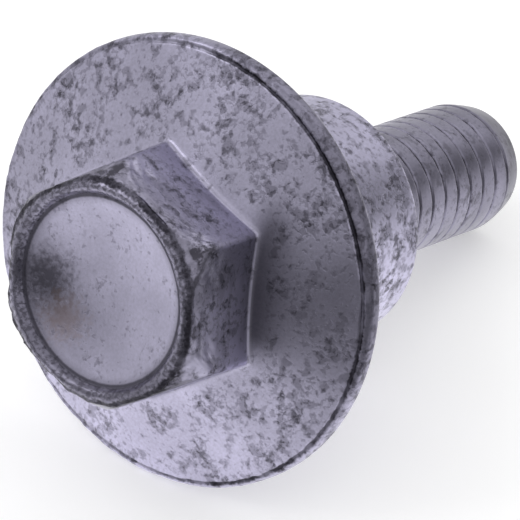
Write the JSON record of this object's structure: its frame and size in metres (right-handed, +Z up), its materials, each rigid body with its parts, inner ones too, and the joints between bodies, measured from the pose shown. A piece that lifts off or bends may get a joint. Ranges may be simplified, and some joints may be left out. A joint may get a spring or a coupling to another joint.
{
  "type": "valve cover bolt",
  "caption": "Hexagon flange bolt with a lipped, dished head, a wide thin flange, a plain round shoulder and a short metric thread, lying on its flange and tip.",
  "frame": {"origin": "centre of the bearing face under the flange, on the bolt's axis", "axes": "+Z up from the surface that the bolt lies on; the bolt's axis is in the XZ plane, runs towards +X and dips 18.2 degrees to the tip, and the head faces -X"},
  "size_m": [0.029, 0.02, 0.0191],
  "materials": {
    "coated_steel": "zinc flake coating, dull lavender grey, mottled with dark specks and small scratches"
  },
  "bodies": {
    "root": {"shoulder_bolt": "coated_steel"}
  },
  "joints": []
}
